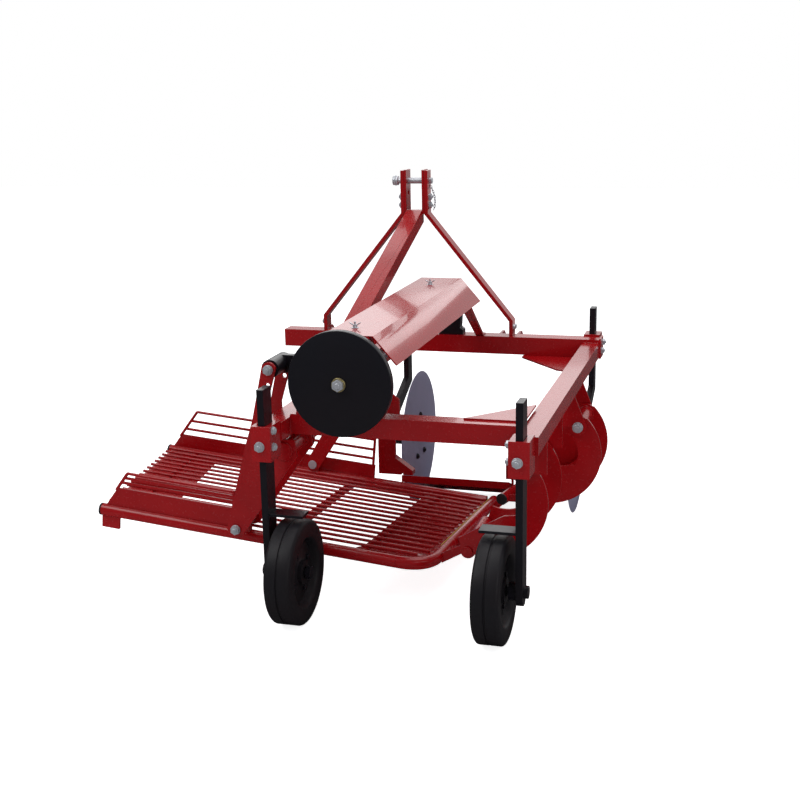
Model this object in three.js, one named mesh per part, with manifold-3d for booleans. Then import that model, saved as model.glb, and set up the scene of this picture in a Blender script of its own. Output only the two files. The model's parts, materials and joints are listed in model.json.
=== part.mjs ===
// Side-delivery potato digger for a three-point hitch, built as separate welded and bolted pieces.
// Millimetres, +Z up, +Y towards the tractor, +X to the machine's right.
// X = 0 is the hitch centre line, Y = 0 the rear face of the rear crossbar; the last lines set it on
// the ground.
import * as THREE from 'three';
import { mergeVertices } from 'three/addons/utils/BufferGeometryUtils.js';
import Module from 'manifold-3d';

const wasm = await Module();
wasm.setup();

// ---------------------------------------------------------------- driving dimensions
const GAP = 0.3;                    // air left between pieces that touch
const ROUND = 16;                   // sides of a round tube or pin
const FINE = 48;                    // sides of a wheel, a disc or the flywheel

const FRAME_Z = 540;                // underside of the frame tubes
const SIDE_W = 60, SIDE_H = 52;     // side bars
const REAR_H = 60, REAR_D = 60;     // rear crossbar
const FRONT_H = 65, FRONT_D = 65;   // front crossbar
const RIGHT_X = 685, LEFT_X = -107; // outer faces of the side bars
const SIDE_Y0 = -70, FRONT_Y = 1191;
const FRONT_LEFT_X = -520;          // the front crossbar runs on to the left, to centre the hitch
const GUSSET_T = 6;

const WHEEL_R = 152, WHEEL_W = 84, WHEEL_Z = 165;
const SCRAPER_Z = 334;
const WHEEL_X = { left: -9, right: 575 };
const POST_X = { left: -79, right: 647 };
const POST_T = 20, POST_D = 60, POST_Z0 = 127, POST_Z1 = 702, POST_Y = -112;
const CLAMP = { w: 58, d: 80, z0: 497, z1: 599 };

const COULTER_R = 240, COULTER_T = 5, COULTER_Y = 1040, COULTER_Z = 253;
const COULTER_X = { left: 52, right: 631 };
const SHANK_X = { left: -58, right: 649 };
const SHANK_T = 20, SHANK_D = 50, SHANK_Y = 1290, SHANK_Z1 = 706;

const SHAFT_X = 135, SHAFT_Z = 715, SHAFT_R = 17.5;
const FLYWHEEL_R = 150, FLYWHEEL_T = 25, FLYWHEEL_Y = -90;
const ROD_Y = 72, ROD_T = 24;       // the plane of the connecting rod
const THROW = 12;                   // offset of the eccentric
const ECCENTRIC_R = 36;
const STRAP_R = 66, STRAP_W = 13;   // ring of the connecting rod, open round the eccentric

const SWING_ARM = new THREE.Vector2(-160, -252);          // from a rocker's pivot to its lower pin
const LEFT_PIVOT = new THREE.Vector2(-67, 492);           // X and Z
const RIGHT_PIVOT = { rear: new THREE.Vector2(613, 443), front: new THREE.Vector2(697, 443) };
const HANGER_Y = { left: [132, 560], out: 6 };
const OPEN_BORE = 17.5;             // tray eyes left open round the right rockers' lower pins
const TOP_PIN = new THREE.Vector2(-101, 730);
const LEVER_Y = [-16, 116];         // rear faces of the lever's two plates
const FRONT_ARM_Y = 656;
const PLATE = 8;
const HOOK_Y = { rear: [86, 331], front: [606, 766] };
const HOOK_R = 172, HOOK_BAND = { rear: 64, front: 75 };

const WEB = [                       // outline of a hook's web from its lower eye, in X and Z
  [-20, 4], [-26, 40], [46, 82], [106, 116], [158, 122], [176, 96], [120, 30], [40, -6],
];

const TRAY_SLOPE = Math.atan(0.0956); // the sieve rises towards its open left end
const TRAY_Z = 171.5;               // height of the beams' centre line at X = 0
const TRAY_Y0 = 68, TRAY_Y1 = 700;  // rear and front beam
const TRAY_LEFT = { rear: -716, front: -790 };
const RIM_X = { rear: 346, front: 408 }; // centre line of the bent tube that closes the tray's right side
const RIM_CORNER = 90, RIM_LEAD = 12;
const BEAM_R = 19;
const RAIL = { x0: 446, x1: 556, y0: 621, y1: 1040, z: 175 };
const SIEVE_RODS = 16, SIEVE_ROD_R = 5;

const MAST = { w: 60, h: 46, y0: 30, y1: 1232, z0: 600, z1: 1062 };
const HEAD = { y0: 1208, y1: 1270, z0: 1046, z1: 1206, pin: 1166, bolt: 1078 };
const STAY_X = 352, STAY_T = 14, STAY_Y = 1209;
const LOWER_PIN_X = 342, LOWER_PIN_Y = 1318, LOWER_PIN_Z = 572;

const COVER = { y0: -45, y1: 1012, top: 845, left: 77, right: 221, low: 765, flare: 68, t: 3 };

const SHARE = { left: 62, right: 444, y0: 758, y1: 1150, z0: 190, z1: 20, t: 10 };

// ---------------------------------------------------------------- materials
const paint = (colour) => new THREE.MeshStandardMaterial({ color: colour, roughness: 0.35,
  metalness: 0.1 });
const red = () => paint(0xb3121a);
const black = () => paint(0x26262b);
const rubber = () => new THREE.MeshStandardMaterial({ color: 0x2e2e31, roughness: 0.75, metalness: 0 });
const steel = () => new THREE.MeshStandardMaterial({ color: 0x9a9bb5, roughness: 0.4, metalness: 0.8 });
const zinc = () => new THREE.MeshStandardMaterial({ color: 0xc9cbd2, roughness: 0.35, metalness: 0.9 });

// ---------------------------------------------------------------- joining and cutting
function solid(geometry) {
  const bare = geometry.clone();
  bare.deleteAttribute('normal');
  bare.deleteAttribute('uv');
  const merged = mergeVertices(bare, 1e-4);
  return new wasm.Manifold(new wasm.Mesh({
    numProp: 3,
    vertProperties: new Float32Array(merged.attributes.position.array),
    triVerts: new Uint32Array(merged.index.array),
  }));
}

function surface(manifold) {
  const mesh = manifold.getMesh();
  const geometry = new THREE.BufferGeometry();
  geometry.setAttribute('position', new THREE.BufferAttribute(mesh.vertProperties, 3));
  geometry.setIndex(new THREE.BufferAttribute(mesh.triVerts, 1));
  geometry.computeVertexNormals();
  return geometry;
}

const joined = (geometries) => geometries.slice(1).reduce((sum, g) => sum.add(solid(g)),
  solid(geometries[0]));
const weld = (...geometries) => surface(joined(geometries));
const cut = (body, ...tools) => surface(joined([body]).subtract(joined(tools)));

// ---------------------------------------------------------------- plain shapes
function block(x0, x1, y0, y1, z0, z1) {
  return new THREE.BoxGeometry(x1 - x0, y1 - y0, z1 - z0)
    .translate((x0 + x1) / 2, (y0 + y1) / 2, (z0 + z1) / 2);
}

// A bar of round section from one point to another.
function rod(from, to, radius, sides = ROUND) {
  const along = new THREE.Vector3().subVectors(to, from);
  const turn = new THREE.Quaternion().setFromUnitVectors(new THREE.Vector3(0, 1, 0),
    along.clone().normalize());
  return new THREE.CylinderGeometry(radius, radius, along.length(), sides)
    .applyQuaternion(turn)
    .translate((from.x + to.x) / 2, (from.y + to.y) / 2, (from.z + to.z) / 2);
}

const at = (x, y, z) => new THREE.Vector3(x, y, z);
const rodX = (x0, x1, y, z, radius, sides) => rod(at(x0, y, z), at(x1, y, z), radius, sides);
const spanX = (xa, xb, ...rest) => rodX(Math.min(xa, xb), Math.max(xa, xb), ...rest);
const rodY = (y0, y1, x, z, radius, sides) => rod(at(x, y0, z), at(x, y1, z), radius, sides);

const extrude = (shape, depth, curveSegments = 12) =>
  new THREE.ExtrudeGeometry(shape, { depth, bevelEnabled: false, curveSegments });

// Plates cut from an outline: across the machine (outline in X and Z), fore and aft (Y and Z), or flat
// (X and Y).
function plateXZ(shape, y0, thickness, curveSegments) {
  return extrude(shape, thickness, curveSegments).rotateX(Math.PI / 2).translate(0, y0 + thickness, 0);
}

function plateYZ(shape, x0, thickness, curveSegments) {
  const turn = new THREE.Matrix4().makeBasis(at(0, 1, 0), at(0, 0, 1), at(1, 0, 0));
  return extrude(shape, thickness, curveSegments).applyMatrix4(turn).translate(x0, 0, 0);
}

const plateXY = (shape, z0, thickness, curveSegments) => extrude(shape, thickness,
  curveSegments).translate(0, 0, z0);

function outline(points) {
  return new THREE.Shape(points.map(([a, b]) => new THREE.Vector2(a, b)));
}

// ---------------------------------------------------------------- the part list
const digger = new THREE.Group();

function piece(name, geometry, material, parent = digger) {
  const mesh = new THREE.Mesh(geometry, material);
  mesh.name = name;
  parent.add(mesh);
  return mesh;
}

const SIDE_TOP = FRAME_Z + SIDE_H;
const REAR_TOP = FRAME_Z + REAR_H;
const FRONT_TOP = FRAME_Z + FRONT_H;
const FRONT_Y1 = FRONT_Y + FRONT_D;

// ---------------------------------------------------------------- frame
function frame() {
  const inner = RIGHT_X - SIDE_W;
  const bar = (x0) => block(x0, x0 + SIDE_W, SIDE_Y0, FRONT_Y - GAP, FRAME_Z, SIDE_TOP);
  const leftHangers = HANGER_Y.left.map((y) => hanger(LEFT_X, LEFT_PIVOT, y, 26 + 2 * GAP));
  piece('left_side_bar', weld(bar(LEFT_X), ...leftHangers), red());
  const rightHangers = ['rear', 'front'].flatMap((place) => {
    const [yA, yB] = HOOK_Y[place];
    return [yA - HANGER_Y.out - PLATE, yB + PLATE + HANGER_Y.out]
      .map((y) => hanger(inner, RIGHT_PIVOT[place], y, 12 + GAP));
  });
  piece('right_side_bar', weld(bar(inner), ...rightHangers), red());

  // Corner gussets: one on top at the rear right, one below at the front right.
  const rearGusset = outline([[inner - 170, REAR_D - 22], [inner + 2, REAR_D - 22], [inner + 2,
    REAR_D + 168]]);
  piece('rear_crossbar', weld(
    block(LEFT_X + SIDE_W + GAP, inner - GAP, 0, REAR_D, FRAME_Z, REAR_TOP),
    plateXY(rearGusset, REAR_TOP - 1, GUSSET_T),
  ), red());
  const edge = FRONT_Y + 4;
  const frontGusset = outline([[inner - 215, edge], [inner - 215, FRONT_Y - 30], [inner - 60,
    FRONT_Y - 210],
    [inner + 20, FRONT_Y - 240], [inner + 20, edge]]);
  piece('front_crossbar', weld(
    block(FRONT_LEFT_X, RIGHT_X, FRONT_Y, FRONT_Y1, FRAME_Z, FRONT_TOP),
    block(RIGHT_X - 1, RIGHT_X + 6, FRONT_Y, FRONT_Y1 + 8, FRAME_Z - 4, FRONT_TOP + 4),
    plateXY(frontGusset, FRAME_Z - GAP - GUSSET_T, GUSSET_T),
    block(inner - 214, RIGHT_X - SIDE_W - 2, FRONT_Y + 1, edge - 1, FRAME_Z - 2, FRAME_Z + 2),
  ), red());
}

// ---------------------------------------------------------------- hitch
function hitch() {
  const along = new THREE.Vector2(MAST.y1 - MAST.y0, MAST.z1 - MAST.z0);
  const rise = along.y / along.x;
  const foot = MAST.z0 + GAP;
  const strut = outline([[MAST.y0 - 24, foot], [MAST.y0 + MAST.h / rise * 0.25, foot],
    [MAST.y1, MAST.z1 - MAST.h], [MAST.y1, MAST.z1], [MAST.y1 - 20, MAST.z1], [MAST.y0 - 24, foot + 20]]);
  const mast = [plateYZ(strut, -MAST.w / 2, MAST.w)];

  for (const [side, sign] of [['left', -1], ['right', 1]]) {
    const inner = sign * (MAST.w / 2 - 1);
    const x0 = Math.min(inner, inner + sign * PLATE);
    const cheek = cut(
      block(x0, x0 + PLATE, HEAD.y0, HEAD.y1, HEAD.z0, HEAD.z1),
      rodX(x0 - 1, x0 + PLATE + 1, (HEAD.y0 + HEAD.y1) / 2, HEAD.pin, 11 + GAP),
      rodX(x0 - 1, x0 + PLATE + 1, (HEAD.y0 + HEAD.y1) / 2, (HEAD.pin + HEAD.bolt) / 2, 8),
    );
    mast.push(cheek);
    // Flat stay from the mast head down to the front crossbar, with a short upright foot.
    const top = sign * (MAST.w / 2 - 1 + PLATE + GAP), out = sign * STAY_T;
    const stay = outline([[top, HEAD.z0], [top, HEAD.z1 - 2], [top + out, HEAD.z1 - 2], [top + out,
      HEAD.z0 + 4],
      [sign * STAY_X + out, 662], [sign * STAY_X + out, FRONT_TOP + GAP], [sign * STAY_X, FRONT_TOP + GAP],
      [sign * STAY_X, 658]]);
    piece(`${side}_mast_stay`, cut(plateXZ(stay, STAY_Y, 50),
      spanX(top - out, top + 2 * out, (HEAD.y0 + HEAD.y1) / 2, HEAD.pin, 11 + GAP)), red());
  }
  piece('mast', weld(...mast), red());
  piece('top_link_pin', weld(
    rodX(-72, 62, (HEAD.y0 + HEAD.y1) / 2, HEAD.pin, 11),
    rodX(-86, -66, (HEAD.y0 + HEAD.y1) / 2, HEAD.pin, 17),
  ), zinc());

  for (const [side, sign] of [['left', -1], ['right', 1]]) {
    const low = LOWER_PIN_Z - 31, high = LOWER_PIN_Z + 31;
    const ear = outline([[FRONT_Y1 + GAP, high], [FRONT_Y1 + GAP, low], [LOWER_PIN_Y + 10, low],
      [LOWER_PIN_Y + 32, low + 18], [LOWER_PIN_Y + 32, high - 18], [LOWER_PIN_Y + 10, high]]);
    const base = outline([[FRONT_Y1 + GAP, high], [FRONT_Y1 + GAP, low], [FRONT_Y1 + 8, low],
      [FRONT_Y1 + 8, high]]);
    const x = sign * LOWER_PIN_X;
    piece(`${side}_lower_hitch`, weld(
      plateYZ(ear, x - 38, 10), plateYZ(ear, x + 28, 10), plateYZ(base, x - 38, 76),
      rodX(x - 56, x + 56, LOWER_PIN_Y, LOWER_PIN_Z, 11),
      rodX(x - 62, x - 37, LOWER_PIN_Y, LOWER_PIN_Z, 16),
    ), red());
  }
}

// ---------------------------------------------------------------- wheels, posts and scrapers
function depthWheel(side, inward) {
  const x = POST_X[side];
  const clampY0 = SIDE_Y0 - GAP - CLAMP.d;
  const postY0 = POST_Y - POST_D / 2;
  const box = cut(
    block(x - CLAMP.w / 2, x + CLAMP.w / 2, clampY0, SIDE_Y0 - GAP, CLAMP.z0, CLAMP.z1),
    block(x - POST_T / 2 - GAP, x + POST_T / 2 + GAP, postY0 - GAP, postY0 + POST_D + GAP, CLAMP.z0 - 1,
      CLAMP.z1 + 1),
  );
  piece(`${side}_post_clamp`, box, red());

  // The post carries the scraper and the axle bolt, whose nut holds the wheel on from the far side.
  const wheelX = WHEEL_X[side];
  const face = x + inward * (POST_T / 2 - 1);
  const tip = wheelX - inward * (WHEEL_W / 2 - 12) + inward * 70;
  const nut = wheelX + inward * (WHEEL_W / 2 - 4);
  const head = x - inward * (POST_T / 2 + 12);
  const foot = outline([[postY0, POST_Z0 + 22], [postY0 + 20, POST_Z0], [postY0 + POST_D - 20, POST_Z0],
    [postY0 + POST_D, POST_Z0 + 22], [postY0 + POST_D, POST_Z1], [postY0, POST_Z1]]);
  piece(`${side}_wheel_post`, weld(
    plateYZ(foot, x - POST_T / 2, POST_T),
    block(Math.min(face, tip), Math.max(face, tip), postY0 + 4, postY0 + POST_D - 4,
      SCRAPER_Z, SCRAPER_Z + 8),
    spanX(head, nut + inward * 12, POST_Y, WHEEL_Z, 12),
    spanX(head, face, POST_Y, WHEEL_Z, 18),
    spanX(face, wheelX - inward * 40, POST_Y, WHEEL_Z, 26),
    spanX(nut, nut + inward * 14, POST_Y, WHEEL_Z, 19),
  ), black());

  const wheel = new THREE.Group();
  wheel.position.set(wheelX, POST_Y, WHEEL_Z);
  digger.add(wheel);
  const half = WHEEL_W / 2;
  const bore = 12.5;
  const section = [[bore, -34], [34, -34], [38, -20], [92, -10], [98, -half + 14], [118, -half + 3],
    [142, -half + 2], [WHEEL_R - 3, -half + 5], [WHEEL_R, -half + 10], [WHEEL_R, -3], [WHEEL_R - 3, 0],
    [WHEEL_R, 3], [WHEEL_R, half - 10], [WHEEL_R - 3, half - 5], [142, half - 2], [118, half - 3],
    [98, half - 14], [92, 10], [38, 20], [34, 34], [bore, 34], [bore, -34]];
  piece(`${side}_wheel`, new THREE.LatheGeometry(profile(section), FINE).rotateZ(Math.PI / 2), rubber(),
    wheel);
}

const profile = (pairs) => pairs.map(([r, h]) => new THREE.Vector2(r, h));

// A ring whose axis runs along X.
function ringX(xa, xb, y, z, outer, inner) {
  const x0 = Math.min(xa, xb), x1 = Math.max(xa, xb);
  return cut(rodX(x0, x1, y, z, outer), rodX(x0 - 1, x1 + 1, y, z, inner));
}

// ---------------------------------------------------------------- disc coulters
function coulter(side) {
  const x = SHANK_X[side], discX = COULTER_X[side];
  const y0 = SHANK_Y - SHANK_D / 2, y1 = SHANK_Y + SHANK_D / 2;
  const heel = COULTER_Y, half = SHANK_D / 2;
  const shank = outline([[y0, SHANK_Z1], [y0, 420], [heel - half, COULTER_Z + 58], [heel - half,
    COULTER_Z - 24],
    [heel - 10, COULTER_Z - 34], [heel + 10, COULTER_Z - 34], [heel + half, COULTER_Z - 24],
    [heel + half, COULTER_Z + 30], [y1, 396], [y1, SHANK_Z1]]);
  const towards = Math.sign(discX - x);
  const farEnd = discX + towards * 26;
  const nearEnd = x - towards * (SHANK_T / 2 + 14);
  piece(`${side}_coulter_shank`, weld(
    plateYZ(shank, x - SHANK_T / 2, SHANK_T),
    spanX(nearEnd, farEnd, COULTER_Y, COULTER_Z, 13),
    spanX(nearEnd, x, COULTER_Y, COULTER_Z, 20),
    spanX(farEnd, discX + towards * 10, COULTER_Y, COULTER_Z, 19),
  ), black());
  const w = 58;
  piece(`${side}_coulter_clamp`, cut(
    block(x - w / 2, x + w / 2, FRONT_Y1 + GAP, y1 + 14, FRAME_Z - 16, FRONT_TOP + 6),
    block(x - SHANK_T / 2 - GAP, x + SHANK_T / 2 + GAP, y0 - GAP, y1 + GAP, FRAME_Z - 17, FRONT_TOP + 7),
  ), red());

  const turning = new THREE.Group();
  turning.position.set(discX, COULTER_Y, COULTER_Z);
  digger.add(turning);
  const edge = COULTER_T / 2;
  const blade = [[13.5, -edge], [COULTER_R - 22, -edge], [COULTER_R, -0.6], [COULTER_R, 0.6],
    [COULTER_R - 22, edge],
    [13.5, edge], [13.5, -edge]];
  piece(`${side}_coulter_disc`, new THREE.LatheGeometry(profile(blade), FINE).rotateZ(Math.PI / 2),
    steel(), turning);
  const room = Math.abs(discX - x) - SHANK_T / 2 - edge - 5;
  if (room > 20) {
    piece(`${side}_coulter_hub`, ringX(-towards * (edge + GAP), -towards * (edge + room), 0, 0, 34,
      13.5), black(),
      turning);
  }
}

// ---------------------------------------------------------------- drive
function drive() {
  const bearing = (name, y0, base) => {
    const shape = outline([[SHAFT_X - 46, base + GAP], [SHAFT_X + 46, base + GAP], [SHAFT_X + 46,
      base + 18],
      [SHAFT_X + 34, base + 26], [SHAFT_X + 40, SHAFT_Z], [SHAFT_X + 29, SHAFT_Z + 29], [SHAFT_X,
        SHAFT_Z + 41],
      [SHAFT_X - 29, SHAFT_Z + 29], [SHAFT_X - 40, SHAFT_Z], [SHAFT_X - 34, base + 26], [SHAFT_X - 46,
        base + 18]]);
    piece(name, cut(plateXZ(shape, y0, 44), rodY(y0 - 1, y0 + 45, SHAFT_X, SHAFT_Z, SHAFT_R + 1)), black());
  };
  bearing('rear_bearing', 8, REAR_TOP);
  bearing('front_bearing', FRONT_Y + 10, FRONT_TOP);

  piece('drive_shaft', weld(
    rodY(-94, 1372, SHAFT_X, SHAFT_Z, SHAFT_R),
    rodY(ROD_Y - 2, ROD_Y + ROD_T + 2, SHAFT_X + THROW, SHAFT_Z, ECCENTRIC_R, 36),
    rodY(-96, FLYWHEEL_Y - GAP, SHAFT_X, SHAFT_Z, 18.5),
    rodY(-111, -95, SHAFT_X, SHAFT_Z, 8),
    rodY(1150, 1172, SHAFT_X, SHAFT_Z, 26),
  ), steel());
  const bore = SHAFT_R + GAP;
  const wheel = [[bore, 0], [FLYWHEEL_R - 2, 0], [FLYWHEEL_R, 2], [FLYWHEEL_R, FLYWHEEL_T - 2],
    [FLYWHEEL_R - 2, FLYWHEEL_T], [44, FLYWHEEL_T], [44, FLYWHEEL_T + 20], [bore, FLYWHEEL_T + 20],
      [bore, 0]];
  const flywheel = piece('flywheel', new THREE.LatheGeometry(profile(wheel), FINE), black());
  flywheel.position.set(SHAFT_X, FLYWHEEL_Y, SHAFT_Z);

  // Folded sheet over the shaft: a flat top, a flared right side and an upright left side.
  const { y0, y1, top, left, right, low, flare, t } = COVER;
  const sheet = outline([[left - 30, low], [left - 30 + t, low], [left + t * 0.8, top - t],
    [right - t * 0.6, top - t],
    [right + flare - t, low], [right + flare + t * 0.4, low + 1], [right + t * 0.3, top],
      [left - t * 0.2, top]]);
  const standX = 192, under = top - t;
  const stand = outline([[standX, REAR_TOP + GAP], [standX + 34, REAR_TOP + GAP], [standX + 34,
    REAR_TOP + 6],
    [standX + 5, REAR_TOP + 6], [standX + 5, under + 1], [standX - 34, under + 1], [standX - 34, under - 4],
    [standX, under - 4]]);
  // A flat brace from the cover's front edge down to the front crossbar.
  const brace = outline([[y1 - 24, 736], [y1 - 24, 742], [y1 - 2, 742], [FRONT_Y + 12, FRONT_TOP + 6],
    [FRONT_Y + 42, FRONT_TOP + 6], [FRONT_Y + 42, FRONT_TOP + GAP], [FRONT_Y + 6, FRONT_TOP + GAP]]);
  const tab = block(228, 262, y1 - 24, y1 - 10, 738, 800);
  piece('shaft_cover', weld(plateXZ(sheet, y0, y1 - y0), plateXZ(stand, 16, 30), plateYZ(brace, 230, 30),
    tab), red());
}

// ---------------------------------------------------------------- connecting rod
function connectingRod() {
  const inner = STRAP_R, outer = STRAP_R + STRAP_W;
  const barTop = TOP_PIN.y + 26, barLow = TOP_PIN.y - 26;
  const body = joined([
    rodY(ROD_Y, ROD_Y + ROD_T, SHAFT_X, SHAFT_Z, outer, 48),
    block(TOP_PIN.x, SHAFT_X - inner - 2, ROD_Y, ROD_Y + ROD_T, barLow, barTop),
    rodY(LEVER_Y[0] + PLATE + 5, LEVER_Y[1] - 5, TOP_PIN.x, TOP_PIN.y, 27),
  ]);
  const holes = joined([
    rodY(ROD_Y - 1, ROD_Y + ROD_T + 1, SHAFT_X, SHAFT_Z, inner, 48),
    rodY(LEVER_Y[0], LEVER_Y[1], TOP_PIN.x, TOP_PIN.y, 12.5),
  ]);
  piece('connecting_rod', surface(body.subtract(holes)), black());
}

// ---------------------------------------------------------------- left rocker
function leftRocker() {
  const low = LEFT_PIVOT.clone().add(SWING_ARM);
  // Outline of a lever plate: rounded top eye, arm past the side bar, wide elbow, rounded lower eye.
  const lever = new THREE.Shape();
  lever.absarc(TOP_PIN.x, TOP_PIN.y, 22, 0.05 * Math.PI, 0.93 * Math.PI, false);
  lever.lineTo(-158, 580);
  lever.lineTo(-184, 500);
  lever.lineTo(low.x - 26, low.y + 12);
  lever.absarc(low.x, low.y, 28, 0.87 * Math.PI, 1.9 * Math.PI, false);
  lever.lineTo(LEFT_PIVOT.x + 42, LEFT_PIVOT.y - 14);
  lever.lineTo(LEFT_PIVOT.x + 36, LEFT_PIVOT.y + 34);
  lever.lineTo(-118, LEFT_PIVOT.y + 34);
  lever.lineTo(-118, 606);
  const pins = [rodY(LEVER_Y[0] - 2, LEVER_Y[1] + PLATE + 2, low.x, low.y, 12 + GAP)];
  pins.push(...LEVER_Y.flatMap((y) => [rodY(y - 1, y + PLATE + 1, TOP_PIN.x, TOP_PIN.y, 12 + GAP),
    rodY(y - 1, y + PLATE + 1, TOP_PIN.x - 4, TOP_PIN.y - 46, 7)]));
  const plates = LEVER_Y.map((y) => plateXZ(lever, y, PLATE));
  piece('lever_top_pin', weld(
    rodY(LEVER_Y[0] - GAP, LEVER_Y[1] + PLATE + GAP, TOP_PIN.x, TOP_PIN.y, 12),
    rodY(LEVER_Y[0] - GAP - 6, LEVER_Y[0] - GAP, TOP_PIN.x, TOP_PIN.y, 15),
    rodY(LEVER_Y[1] + PLATE + GAP, LEVER_Y[1] + PLATE + GAP + 6, TOP_PIN.x, TOP_PIN.y, 15),
  ), zinc());
  const tube = rodY(LEVER_Y[0] - 6, FRONT_ARM_Y + PLATE + 6, LEFT_PIVOT.x, LEFT_PIVOT.y, 26);

  const along = SWING_ARM.clone().normalize(), across = new THREE.Vector2(-along.y, along.x);
  const corner = (base, a, b) => base.clone().addScaledVector(along, a).addScaledVector(across, b);
  const arm = new THREE.Shape([corner(LEFT_PIVOT, -30, -28), corner(LEFT_PIVOT, 20, -30), corner(low, 0,
    -24),
    corner(low, 17, -17), corner(low, 24, 0), corner(low, 17, 17), corner(low, 0, 24), corner(LEFT_PIVOT,
      20, 30),
    corner(LEFT_PIVOT, -30, 28)]);
  pins.push(rodY(FRONT_ARM_Y - 1, FRONT_ARM_Y + PLATE + 1, low.x, low.y, 12 + GAP));
  piece('left_rocker', surface(joined([...plates, tube, plateXZ(arm, FRONT_ARM_Y, PLATE)])
    .subtract(joined(pins))), red());
}

// A trapezoid plate from a side bar down to a pivot, with a bore for the pivot.
function hanger(barX, pivot, y, bore) {
  const top = FRAME_Z + 3;
  const plate = new THREE.Shape();
  plate.moveTo(barX, top);
  plate.lineTo(Math.min(barX, pivot.x - bore - 16), pivot.y);
  plate.absarc(pivot.x, pivot.y, bore + 16, Math.PI, 2 * Math.PI, false);
  plate.lineTo(Math.max(barX + SIDE_W, pivot.x + bore + 16), pivot.y);
  plate.lineTo(barX + SIDE_W, top);
  return cut(plateXZ(plate, y, PLATE), rodY(y - 1, y + PLATE + 1, pivot.x, pivot.y, bore));
}

// ---------------------------------------------------------------- right rockers
function rightRocker(place) {
  const pivot = RIGHT_PIVOT[place];
  const low = pivot.clone().add(SWING_ARM);
  const centre = pivot.clone().add(new THREE.Vector2(-98, -93));
  const [yA, yB] = HOOK_Y[place];
  const start = Math.atan2(pivot.y - centre.y, pivot.x - centre.x);
  const end = Math.atan2(low.y - centre.y, low.x - centre.x);
  const hook = new THREE.Shape();
  hook.absarc(centre.x, centre.y, HOOK_R, start, end, true);
  hook.absarc(centre.x, centre.y, HOOK_R - HOOK_BAND[place], end, start, false);
  // The rear plate of the pair is broad at its lower end: a web fills the bow of the hook above the eye.
  const web = outline(WEB.map(([a, b]) => [low.x + a, low.y + b]));
  const plate = (y) => [plateXZ(hook, y, PLATE, 20), rodY(y, y + PLATE, pivot.x, pivot.y, 34),
    rodY(y, y + PLATE, low.x, low.y, 22)];
  const body = joined([...plate(yA), ...plate(yB), plateXZ(web, yA, PLATE), rodY(yA + 1, yB + PLATE - 1,
    pivot.x, pivot.y, 24)]);
  const bores = joined([rodY(yA - 1, yB + PLATE + 1, pivot.x, pivot.y, 12.5),
    rodY(yA - 1, yB + PLATE + 1, low.x, low.y, 12.5)]);
  piece(`right_${place}_rocker`, surface(body.subtract(bores)), red());

  // The pivot bolt is held by the hanger plates on either side of the hooks.
  const out = PLATE + HANGER_Y.out + GAP;
  piece(`right_${place}_pivot_bolt`, weld(
    rodY(yA - out - 12, yB + PLATE + out + 12, pivot.x, pivot.y, 12),
    rodY(yA - out - 12, yA - out, pivot.x, pivot.y, 17),
    rodY(yB + PLATE + out, yB + PLATE + out + 12, pivot.x, pivot.y, 17),
  ), zinc());
}

// ---------------------------------------------------------------- sieve tray
const corner = new THREE.Vector2(RIM_X.rear - RIM_CORNER, TRAY_Y0 + RIM_CORNER);
const lean = Math.atan2(RIM_X.front - RIM_X.rear, TRAY_Y1 - TRAY_Y0);
const inside = RIM_CORNER - BEAM_R;
// Inner face of the rim at a given Y: round the corner, then along the straight side.
const rightEdge = (y) => (y < corner.y - inside * Math.sin(lean)
  ? corner.x + Math.sqrt(inside ** 2 - Math.min(corner.y - y, inside) ** 2)
  : corner.x + inside * Math.cos(lean) + (y - corner.y + inside * Math.sin(lean)) * Math.tan(lean));

// The rim's centre line, from the rear beam's end round the corner to the front beam's far side.
function rimLine() {
  const path = [at(corner.x - RIM_LEAD, TRAY_Y0, 0)];
  const steps = 8;
  for (let i = 0; i <= steps; i++) {
    const turn = -Math.PI / 2 + (Math.PI / 2 - lean) * i / steps;
    path.push(at(corner.x + RIM_CORNER * Math.cos(turn), corner.y + RIM_CORNER * Math.sin(turn), 0));
  }
  const endY = TRAY_Y1 + BEAM_R;
  path.push(at(rightEdge(endY) + BEAM_R / Math.cos(lean), endY, 0));
  return path;
}

// A round tube bent through a list of points in a level plane, closed at both ends.
function bentTube(path, radius) {
  const rings = path.map((p, i) => {
    const before = path[Math.max(i - 1, 0)], after = path[Math.min(i + 1, path.length - 1)];
    const side = new THREE.Vector3(after.y - before.y, before.x - after.x, 0).normalize();
    return Array.from({ length: ROUND }, (_, k) => {
      const turn = 2 * Math.PI * k / ROUND;
      return p.clone().addScaledVector(side, radius * Math.cos(turn)).add(at(0, 0,
        radius * Math.sin(turn)));
    });
  });
  const faces = [];
  const last = rings.length - 1;
  for (let i = 0; i < last; i++) {
    for (let k = 0; k < ROUND; k++) {
      const n = (k + 1) % ROUND;
      const [a, b, c, d] = [rings[i][k], rings[i][n], rings[i + 1][n], rings[i + 1][k]];
      faces.push(a, c, b, a, d, c);
    }
  }
  for (let k = 1; k < ROUND - 1; k++) {
    faces.push(rings[0][0], rings[0][k], rings[0][k + 1], rings[last][0], rings[last][k + 1],
      rings[last][k]);
  }
  return new THREE.BufferGeometry().setFromPoints(faces);
}

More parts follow.
